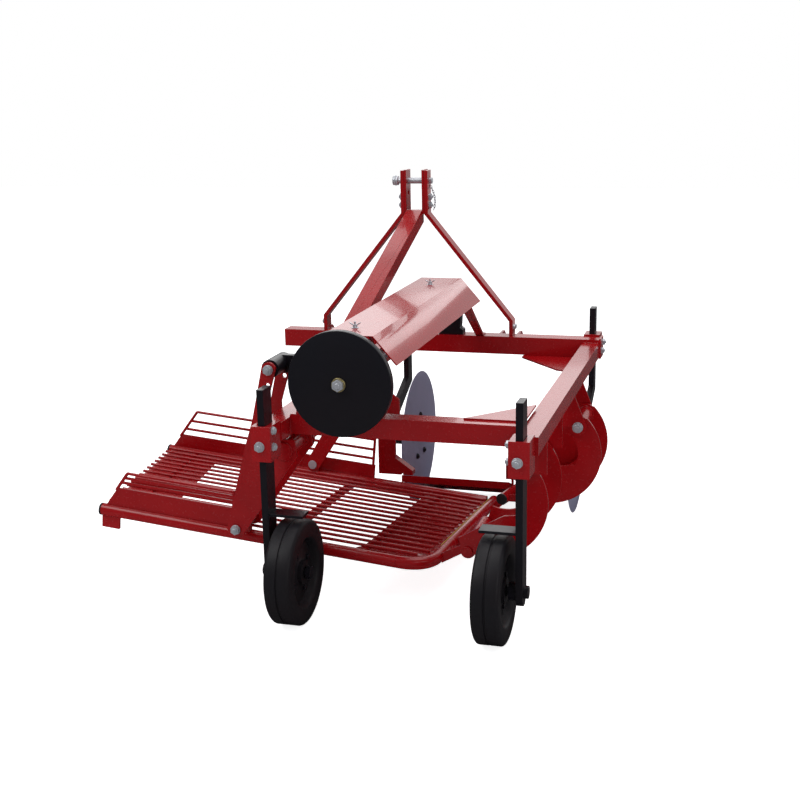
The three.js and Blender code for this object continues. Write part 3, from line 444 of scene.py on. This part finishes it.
# ------------------------------------------------------------------ operators
class DIGGER_OT_materials(bpy.types.Operator):
    """Makes the paints and metals and gives every CAD node its own"""
    bl_idname = "digger.materials"
    bl_label = "Finishes"

    def execute(self, context):
        finish = context.scene.digger_finish
        paint, metal = coat_group(), metal_group()
        dust = finish.dust
        MATERIALS[RED] = material("Gloss red paint", paint,
                                  {"Colour": finish.red, "Drift": 0.22, "Dust": dust, "Gloss": 0.2},
                                  0.03, 0.001, coat=0.4)
        MATERIALS[BLACK] = material("Satin black paint", paint,
                                    {"Colour": finish.black, "Drift": 0.1, "Dust": dust * 0.6, "Gloss": 0.3,
                                     "Dust Colour": (0.3, 0.3, 0.34, 1.0)}, 0.05, 0.001, coat=0.15)
        MATERIALS[RUBBER] = material("Moulded rubber", paint,
                                     {"Colour": finish.rubber, "Drift": 0.2, "Dust": 0.1, "Gloss": 0.42,
                                      "Dust Colour": (0.11, 0.11, 0.14, 1.0)}, 0.25, 0.001)
        MATERIALS["plastic"] = material("Black cap plastic", paint,
                                        {"Colour": (0.02, 0.02, 0.022, 1.0), "Drift": 0.1, "Dust": 0.05,
                                         "Gloss": 0.4}, 0.2, 0.0006)
        MATERIALS[DISC_STEEL] = material("Rolled disc steel", metal,
                                         {"Colour": finish.disc, "Stain": (0.26, 0.26, 0.38, 1.0),
                                          "Amount": 0.5, "Gloss": 0.34}, 0.06, 0.0008, metallic=0.2,
                                         stretch=(1.0, 1.0, 0.3))
        MATERIALS[SHAFT_STEEL] = material("Turned shaft steel", metal,
                                          {"Colour": (0.35, 0.35, 0.38, 1.0), "Gloss": 0.28}, 0.08, 0.0006,
                                          metallic=0.85, stretch=(1.0, 0.2, 1.0))
        MATERIALS[ZINC] = material("Zinc plate", metal,
                                   {"Colour": (0.62, 0.64, 0.68, 1.0), "Stain": (0.42, 0.43, 0.47, 1.0),
                                    "Gloss": 0.22}, 0.08, 0.0004, metallic=0.5)
        MATERIALS["yellow_zinc"] = material("Yellow zinc plate", metal,
                                            {"Colour": (0.62, 0.50, 0.22, 1.0),
                                             "Stain": (0.45, 0.40, 0.30, 1.0), "Gloss": 0.25}, 0.08, 0.0004,
                                            metallic=0.85)
        MATERIALS["yellow_line"] = material("Yellow line", paint,
                                            {"Colour": (0.60, 0.38, 0.03, 1.0), "Drift": 0.2, "Dust": 0.0},
                                            0.05, 0.0004)
        slots = {entry["node"]: entry["material_slot"] for entry in frame["record"]["subparts"]}
        edge = context.scene.digger_fittings.edge
        for name, node in frame["nodes"].items():
            chosen = MATERIALS[slots[name]]
            if not node.material_slots:
                node.data.materials.append(chosen)
            for entry in node.material_slots:
                entry.material = chosen
            soften(node, edge)
        return {"FINISHED"}


def soften(node, width):
    """Welds a node's loose triangles and rounds its sharp edges, without touching its own vertices."""
    weld = node.modifiers.new("Join", "WELD")
    weld.merge_threshold = 1e-5
    bevel = node.modifiers.new("Rounded edges", "BEVEL")
    bevel.width = width
    bevel.segments = 2
    bevel.limit_method = "ANGLE"
    bevel.angle_limit = math.radians(50)
    bevel.use_clamp_overlap = True
    bevel.miter_outer = "MITER_ARC"
    bevel.harden_normals = False
    node.data.polygons.foreach_set("use_smooth", np.ones(len(node.data.polygons), bool))
    shade = node.modifiers.new("Even shading", "WEIGHTED_NORMAL")
    shade.keep_sharp = False
    shade.weight = 80


class DIGGER_OT_wheels(bpy.types.Operator):
    """Builds both depth wheels, with dished sides, mould lines and hub bolts"""
    bl_idname = "digger.wheels"
    bl_label = "Depth wheels"

    def execute(self, context):
        sides = context.scene.digger_fittings.treads
        for side in ("left", "right"):
            low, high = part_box(side + "_wheel")
            centre = np.array((low + high) / 2)
            r = (high.z - low.z) / 2
            half = (high.x - low.x) / 2
            mirror = [(a, -b) for a, b in WHEEL_SECTION[::-1][1:]]
            profile = [(a * r, b * half) for a, b in WHEEL_SECTION + mirror]
            body = side + "_wheel"
            wheel = piece(side + "_moulded_wheel", [turned(profile, centre, (1, 0, 0), sides)], body,
                          MATERIALS[RUBBER], 40)
            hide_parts(side + "_wheel")
            # Two hairline mould rings and four hub bolts on both faces.
            wire = 0.0014 * r / 152.0
            shapes = []
            for sign in (-1.0, 1.0):
                for ring_r, h in ((0.70 * r, 0.955 * half), (0.86 * r, 0.994 * half)):
                    a = np.linspace(0, 2 * np.pi, 96, endpoint=False)
                    path = np.stack([np.full(96, centre[0] + sign * (h - 0.0004)),
                                     centre[1] + ring_r * np.cos(a), centre[2] + ring_r * np.sin(a)], 1)
                    shapes.append(swept(path, circle(wire, 6), up=(1, 0, 0), loop=True))
            piece(side + "_wheel_mould_rings", shapes, body, MATERIALS[RUBBER], 60)
            bolts = []
            for sign in (-1.0, 1.0):
                for a in np.arange(4) * np.pi / 2 + 0.4:
                    offset = [sign * 0.4 * half, 0.4 * r * math.cos(a), 0.4 * r * math.sin(a)]
                    bolts += hex_bolt(centre + np.array(offset), (sign, 0, 0), 9.0)
            piece(side + "_wheel_bolts", bolts, body, MATERIALS[BLACK])
        return {"FINISHED"}


class DIGGER_OT_discs(bpy.types.Operator):
    """Builds the coulter discs with ground edges, their hubs' bolts and the flywheel"""
    bl_idname = "digger.discs"
    bl_label = "Discs and flywheel"

    def execute(self, context):
        sides = context.scene.digger_fittings.treads + 32
        for side in ("left", "right"):
            node = side + "_coulter_disc"
            low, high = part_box(node)
            centre = np.array((low + high) / 2)
            r, t = (high.z - low.z) / 2, (high.x - low.x) / 2
            # From the bore out to the ground bevel and the edge, on one face and then on the other.
            face = [(0.0136, t), (r - 0.03, t), (r - 0.026, t * 0.92), (r - 0.002, t * 0.3), (r, t * 0.1)]
            profile = [(a, -h) for a, h in face] + face[::-1]
            disc = piece(side + "_ground_disc", [turned(profile, centre, (1, 0, 0), sides)],
                         side + "_coulter", MATERIALS[DISC_STEEL], 12)
            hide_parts(node)
            inward = 1.0 if side == "left" else -1.0
            bolt_circle = 0.080
            shapes = []
            for a in np.arange(5) * 2 * np.pi / 5 - 0.96:
                place = centre + np.array([inward * t, bolt_circle * math.cos(a), bolt_circle * math.sin(a)])
                shapes += hex_bolt(place, (inward, 0, 0), 11.0, washer=False, tail=3.0)
            piece(side + "_disc_bolts", shapes, side + "_coulter", MATERIALS[BLACK])

        low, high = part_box("flywheel")
        centre = np.array([(low.x + high.x) / 2, low.y, (low.z + high.z) / 2])
        r = (high.x - low.x) / 2
        # The rear face, the rim's eased edges, the front face, and the boss in front of it.
        bore = 0.018
        rim = [(bore, 0.0), (r - 0.002, 0.0), (r - 0.0006, 0.0006), (r, 0.002), (r, 0.023),
               (r - 0.0006, 0.0244), (r - 0.002, 0.025), (0.045, 0.025), (0.044, 0.026), (0.044, 0.044),
               (0.043, 0.045), (bore, 0.045)]
        wheel = piece("turned_flywheel", [turned(rim, centre, (0, 1, 0), sides)], "drive",
                      MATERIALS[BLACK], 25)
        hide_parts("flywheel")
        plate = 0.0068
        washer = [(0.0, 0.0), (0.0192, 0.0), (0.0200, 0.001), (0.0200, 0.0060), (0.0192, plate), (0.0, plate)]
        piece("flywheel_washer", [turned(washer, centre, (0, -1, 0), 48)], "drive",
              MATERIALS["yellow_zinc"])
        nut = hex_bolt(centre - np.array([0, plate, 0]), (0, -1, 0), 17.4, washer=False, tail=5.0)
        piece("flywheel_nut", nut, "drive", MATERIALS[ZINC])
        return {"FINISHED"}


class DIGGER_OT_caps(bpy.types.Operator):
    """Pushes plastic caps into the open ends of the sieve tray's tubes"""
    bl_idname = "digger.caps"
    bl_label = "Tube caps"

    def execute(self, context):
        r = TUBE * MM
        # A plug inside the tube, a lip on its end and a shallow crown.
        profile = [(0, -0.004), (r * 0.7, -0.004), (r * 0.7, 0), (r, 0), (r * 1.02, 0.001), (r * 1.02, 0.004),
                   (r * 0.97, 0.0058), (r * 0.8, 0.0068), (0, 0.0072)]

        def cap(name, centre, axis):
            piece(name, [turned(profile, centre, axis, 40)], "tray", MATERIALS["plastic"])

        slope = math.atan(TRAY_RISE)
        c, k = math.cos(slope), math.sin(slope)
        for name, x, y in BEAM_ENDS:
            cap(f"{name}_beam_cap", spot(x * c, y, TRAY_HEIGHT - x * k), (-c, 0, k))
        run = np.subtract(RAIL_ENDS[1][1], RAIL_ENDS[0][1]).astype(float)
        run /= np.linalg.norm(run)
        for name, end, sign in RAIL_ENDS:
            cap(f"rail_{name}_cap", spot(*end), run * sign)
        return {"FINISHED"}


class DIGGER_OT_bolts(bpy.types.Operator):
    """Fits bolts, nuts and washers to the clamps, the stays, the bearings and the cover"""
    bl_idname = "digger.bolts"
    bl_label = "Fasteners"

    def execute(self, context):
        size = context.scene.digger_fittings.frame_bolt
        shapes = []
        # Each post clamp has one bolt behind and two beside it, and each coulter clamp two in front.
        for side in ("left", "right"):
            low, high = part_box(side + "_post_clamp")
            middle = (low.x + high.x) / 2
            place = np.array([middle - 0.004, low.y, low.z + 0.044])
            shapes += hex_bolt(place, (0, -1, 0), size, tail=3)
            face, out = (low.x, -1.0) if side == "right" else (high.x, 1.0)
            for z in (low.z + 0.041, low.z + 0.088):
                shapes += hex_bolt(np.array([face, low.y + 0.020, z]), (out, 0, 0), size * 0.8, tail=3)
            low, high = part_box(side + "_coulter_clamp")
            middle = (low.x + high.x) / 2
            for z in (low.z + 0.022, high.z - 0.022):
                shapes += hex_bolt(np.array([middle, high.y, z]), (0, 1, 0), size, tail=4)
        # End plate of the front crossbar, stays' feet, mast head and bearing feet.
        low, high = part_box("front_crossbar")
        for y, z in ((high.y - 0.022, high.z - 0.02), (high.y - 0.05, low.z + 0.03)):
            shapes += hex_bolt(np.array([high.x, y, z]), (1, 0, 0), size * 0.8, tail=4)
        for sign, name in ((-1, "left"), (1, "right")):
            low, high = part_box(f"{name}_mast_stay")
            foot = high.x if sign > 0 else low.x
            for y in (low.y + 0.014, high.y - 0.014):
                shapes += hex_bolt(np.array([foot, y, low.z + 0.03]), (sign, 0, 0), size * 0.7)
        for sign in (-1, 1):
            for z in (1078, 1108):
                shapes += hex_bolt(spot(sign * HEAD_FACE, 1234, z), (sign, 0, 0), size * 0.85, tail=4)
        for name in ("rear_bearing", "front_bearing"):
            low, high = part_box(name)
            for x in (low.x + 0.006, high.x - 0.006):
                shapes += hex_bolt(np.array([x, (low.y + high.y) / 2, low.z + 0.018]), (0, 0, 1),
                                   size * 0.55, tail=4)
        piece("frame_bolts", shapes, "frame", MATERIALS[ZINC])

        # Wing nuts that hold the cover down, each wing a flat leaf that curves up and outwards.
        wings = []
        for x, y in WING_NUTS:
            base = spot(x, y, 0)
            base[2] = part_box("shaft_cover")[1].z
            washer = [(0, -0.001), (0.011, -0.001), (0.011, 0.0012), (0, 0.0012)]
            nut = [(0, 0), (0.007, 0.001), (0.0055, 0.010), (0, 0.011)]
            thread = [(0, 0.008), (0.003, 0.008), (0.003, 0.018), (0, 0.019)]
            for profile, sides in ((washer, 24), (nut, 20), (thread, 14)):
                wings.append(turned(profile, base, (0, 0, 1), sides))
            for sign in (-1, 1):
                t = np.linspace(0, 1, 12)
                path = base + np.stack([sign * (0.005 + 0.013 * t), 0 * t, 0.006 + 0.010 * t ** 0.7], 1)
                taper = np.sin(np.pi * np.clip(t * 0.97 + 0.03, 0, 1)) ** 0.4
                taper[[0, -1]] *= 0.001
                wings.append(swept(path, circle(0.0032, 10) * [0.6, 1.0], up=(0, 1, 0), taper=taper))
        piece("cover_wing_nuts", wings, "frame", MATERIALS[ZINC])

        # Cap bolts on the rocker pivots and the tray's pins.
        for node, body in (("lever_top_pin", "left_rocker"), ("lever_lower_pin", "left_rocker"),
                           ("right_rear_pivot_bolt", "frame"), ("right_front_pivot_bolt", "frame")):
            low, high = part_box(node)
            centre = (low + high) / 2
            head = hex_bolt(np.array([centre.x, low.y + 0.0005, centre.z]), (0, -1, 0), size,
                            washer=False, tail=3)
            piece(node + "_head", head, body, MATERIALS[ZINC])
        return {"FINISHED"}


class DIGGER_OT_welds(bpy.types.Operator):
    """Lays weld beads along the frame's joints, the lever and the mast"""
    bl_idname = "digger.welds"
    bl_label = "Weld beads"

    def execute(self, context):
        r = context.scene.digger_fittings.bead_size
        seams = []
        z0, z1, top = (GROUND + h for h in (0.542, 0.590, 0.592))
        y0, y1, front = (spot(0, y, 0)[1] for y in (0, 60, 1191))
        # Each side bar's joints: round the face where the rear crossbar meets it, then round its front end.
        for inner, outer in ((-47, -107), (625, 625)):
            face, left = spot(inner, 0, 0)[0], spot(outer, 0, 0)[0]
            for y in (y0, y1):
                seams.append(bead([(face, y, z0), (face, y, z1)], r))
            seams.append(bead([(face, y0 + 0.002, top), (face, y1 - 0.002, top)], r))
            seams.append(bead([(left + 0.002, front, top), (left + 0.058, front, top)], r))
            for x in (left, left + 0.060):
                seams.append(bead([(x, front, z0), (x, front, z1)], r))
        # The mast's foot on the rear crossbar.
        seams.append(bead([spot(-30, 8, 600), spot(-30, 58, 600)], r))
        seams.append(bead([spot(30, 8, 600), spot(30, 58, 600)], r))
        seams.append(bead([spot(-28, 6, 601), spot(28, 6, 601)], r))
        piece("frame_welds", seams, "frame", MATERIALS[RED], 60)

        rings = [weld_ring(spot(LEFT_PIVOT[0], y, LEFT_PIVOT[1]), LEFT_RING, r) for y in LEVER_FACES]
        piece("left_rocker_welds", rings, "left_rocker", MATERIALS[RED], 60)
        for place, x in RIGHT_PIVOTS:
            body = f"right_{place}_rocker"
            low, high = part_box(body)
            across, height = spot(x, 0, 0)[0], GROUND + PIVOT_HEIGHT
            rings = [weld_ring(np.array([across, y, height]), RIGHT_RING, r)
                     for y in (low.y + 0.008, high.y - 0.008)]
            piece(f"right_{place}_rocker_welds", rings, body, MATERIALS[RED], 60)
        return {"FINISHED"}


class DIGGER_OT_pins(bpy.types.Operator):
    """Adds the linch pin and its chain to the top pin, and the line along the tray's rim"""
    bl_idname = "digger.pins"
    bl_label = "Linch pin and rim line"

    def execute(self, context):
        low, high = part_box("top_link_pin")
        y, z = (low.y + high.y) / 2, (low.z + high.z) / 2
        shapes = []
        a = np.linspace(0, 2 * np.pi, 40, endpoint=False)
        centre = np.array([low.x + 0.010, y, z])
        ring = centre + np.stack([0 * a, 0.017 * np.cos(a), 0.017 * np.sin(a)], 1)
        shapes.append(swept(ring, circle(0.0018, 8), up=(1, 0, 0), loop=True))
        # Links that hang from the pin's head, each an oval loop turned a quarter from the last.
        start, end = np.array([high.x - 0.008, y, z - 0.018]), np.array([high.x + 0.004, y, z - 0.105])
        count = 10
        t = (np.arange(count) + 0.5) / count
        line = start + (end - start) * t[:, None]
        line[:, 0] += 0.010 * 4 * t * (1 - t)
        drop = np.gradient(line, axis=0)
        drop /= np.linalg.norm(drop, axis=1)[:, None]
        for k in range(count):
            u, v, w = frame_about(drop[k])
            side = u if k % 2 else v
            loop = (line[k] + 0.0062 * np.cos(a)[:, None] * w * (1 + 0.15 * np.abs(np.cos(a)))[:, None]
                    + 0.0034 * np.sin(a)[:, None] * side)
            shapes.append(swept(loop, circle(0.0011, 6), up=np.cross(w, side), loop=True))
        piece("linch_pin_and_chain", shapes, "frame", MATERIALS[ZINC], 60)

        # A thin yellow line on the inner shoulder of the tray's bent tube.
        y = np.linspace(200, 690, 30)
        x = RIM_LINE["x"] + (y - RIM_LINE["y"]) * RIM_LINE["lean"] - RIM_LINE["inset"]
        z = TRAY_HEIGHT - TRAY_RISE * x + RIM_LINE["lift"]
        line = np.stack([spot(*point) for point in np.stack([x, y, z], 1)])
        piece("rim_line", [bead(line, 0.0016, 0.06)], "tray", MATERIALS["yellow_line"])
        return {"FINISHED"}


class DIGGER_OT_stage(bpy.types.Operator):
    """Lays the pale floor, hangs soft lamps and sets the camera"""
    bl_idname = "digger.stage"
    bl_label = "Studio"

    def execute(self, context):
        scene = context.scene
        settings = scene.digger_camera
        yaw, pitch, roll = settings.turn
        cam = bpy.data.cameras.new("Camera")
        cam.lens, cam.sensor_width = settings.lens, 36.0
        cam.clip_end = 100.0
        camera = bpy.data.objects.new("Camera", cam)
        scene.collection.objects.link(camera)
        ahead = Vector((-math.sin(yaw) * math.cos(pitch), math.cos(yaw) * math.cos(pitch), math.sin(pitch)))
        right = Vector((math.cos(yaw), math.sin(yaw), 0.0))
        up = right.cross(ahead)
        across = right * math.cos(roll) + up * math.sin(roll)
        upward = up * math.cos(roll) - right * math.sin(roll)
        basis = Matrix((across, upward, -ahead)).transposed().to_4x4()
        x, y, z = settings.place
        basis.translation = Vector((HITCH_X + x, REAR_Y + y, GROUND + z))
        camera.matrix_world = basis
        scene.camera = camera

        floor_mesh = bpy.data.meshes.new("floor")
        s = 14.0
        floor_mesh.from_pydata([(-s, -s, 0), (s, -s, 0), (s, s, 0), (-s, s, 0)], [], [(0, 1, 2, 3)])
        floor = bpy.data.objects.new("floor", floor_mesh)
        scene.collection.objects.link(floor)
        white = bpy.data.materials.new("Pale floor")
        white.use_nodes = True
        tree = white.node_tree
        shader = tree.nodes["Principled BSDF"]
        shader.inputs["Roughness"].default_value = 0.9
        shader.inputs["Specular IOR Level"].default_value = 0.1
        shader.inputs["Emission Color"].default_value = (1, 1, 1, 1)
        path = tree.nodes.new("ShaderNodeLightPath")
        glow = tree.nodes.new("ShaderNodeMath")
        glow.operation = "MULTIPLY"
        glow.inputs[1].default_value = 0.85
        tree.links.new(path.outputs["Is Camera Ray"], glow.inputs[0])
        tree.links.new(glow.outputs[0], shader.inputs["Emission Strength"])
        # Mirror-like rays see a dim floor: a painted dark reflection, so that upright faces show no pale
        # floor in their gloss and keep their own colour.
        pale, dim = (0.93, 0.93, 0.93, 1), (0.12, 0.11, 0.11, 1)
        shade = blend_colour(tree, path.outputs["Is Glossy Ray"], pale, dim)
        tree.links.new(shade, shader.inputs["Base Color"])
        floor_mesh.materials.append(white)

        world = bpy.data.worlds.new("Studio")
        scene.world = world
        world.use_nodes = True
        tree = world.node_tree
        tree.nodes.clear()
        out = tree.nodes.new("ShaderNodeOutputWorld")
        mix = tree.nodes.new("ShaderNodeMixShader")
        lit, seen = tree.nodes.new("ShaderNodeBackground"), tree.nodes.new("ShaderNodeBackground")
        lit.inputs["Color"].default_value = (0.93, 0.95, 1.0, 1)
        seen.inputs["Color"].default_value = (1, 1, 1, 1)
        seen.inputs["Strength"].default_value = 1.0
        path = tree.nodes.new("ShaderNodeLightPath")
        # Mirror-like rays see a bright wall beyond the machine and a dim room on the viewer's side.
        where = tree.nodes.new("ShaderNodeTexCoord")
        split = tree.nodes.new("ShaderNodeSeparateXYZ")
        tree.links.new(where.outputs["Generated"], split.inputs[0])
        wall = maths(tree, "MULTIPLY", ramp(tree, split.outputs["Y"], 0.1, 0.75), 0.62)
        mirror = maths(tree, "MULTIPLY", wall, path.outputs["Is Glossy Ray"])
        tree.links.new(maths(tree, "MAXIMUM", mirror, path.outputs["Is Camera Ray"]), mix.inputs["Fac"])
        dim = maths(tree, "SUBTRACT", 1.0, maths(tree, "MULTIPLY", path.outputs["Is Glossy Ray"], 0.8))
        tree.links.new(maths(tree, "MULTIPLY", dim, 0.36), lit.inputs["Strength"])
        tree.links.new(lit.outputs[0], mix.inputs[1])
        tree.links.new(seen.outputs[0], mix.inputs[2])
        tree.links.new(mix.outputs[0], out.inputs["Surface"])

        low, high = (Vector(c) for c in CAD_BOX)
        middle = (low + high) / 2
        for name, place, size, power in LAMPS:
            light = bpy.data.lights.new(name, "AREA")
            light.shape, light.size, light.energy = "SQUARE", size, power
            lamp = bpy.data.objects.new(name, light)
            lamp.location = place
            lamp.rotation_euler = (middle - Vector(place)).to_track_quat("-Z", "Y").to_euler()
            scene.collection.objects.link(lamp)
        scene.view_settings.view_transform = "Standard"
        return {"FINISHED"}


class DIGGER_PT_panel(bpy.types.Panel):
    """Lists the digger's settings and its builders"""
    bl_idname = "DIGGER_PT_panel"
    bl_label = "Potato Digger"
    bl_space_type = "VIEW_3D"
    bl_region_type = "UI"
    bl_category = "Digger"

    def draw(self, context):
        for group, names in ((context.scene.digger_finish, ("red", "black", "rubber", "disc", "dust")),
                             (context.scene.digger_fittings, ("frame_bolt", "bead_size", "edge", "treads")),
                             (context.scene.digger_camera, ("lens", "place", "turn"))):
            for name in names:
                self.layout.prop(group, name)
        for operator in BUILDERS:
            self.layout.operator(operator.bl_idname)


BUILDERS = (DIGGER_OT_materials, DIGGER_OT_wheels, DIGGER_OT_discs, DIGGER_OT_caps, DIGGER_OT_bolts,
            DIGGER_OT_welds, DIGGER_OT_pins, DIGGER_OT_stage)
CLASSES = (DIGGER_PG_finish, DIGGER_PG_fittings, DIGGER_PG_camera, *BUILDERS, DIGGER_PT_panel)


def register():
    for cls in CLASSES:
        bpy.utils.register_class(cls)
    bpy.types.Scene.digger_finish = PointerProperty(type=DIGGER_PG_finish)
    bpy.types.Scene.digger_fittings = PointerProperty(type=DIGGER_PG_fittings)
    bpy.types.Scene.digger_camera = PointerProperty(type=DIGGER_PG_camera)


def unregister():
    for name in ("digger_camera", "digger_fittings", "digger_finish"):
        delattr(bpy.types.Scene, name)
    for cls in reversed(CLASSES):
        bpy.utils.unregister_class(cls)


def main():
    """Registers the add-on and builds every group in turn."""
    register()
    bpy.ops.digger.materials()
    bpy.ops.digger.wheels()
    bpy.ops.digger.discs()
    bpy.ops.digger.caps()
    bpy.ops.digger.bolts()
    bpy.ops.digger.welds()
    bpy.ops.digger.pins()
    bpy.ops.digger.stage()


if __name__ == "__main__":
    main()
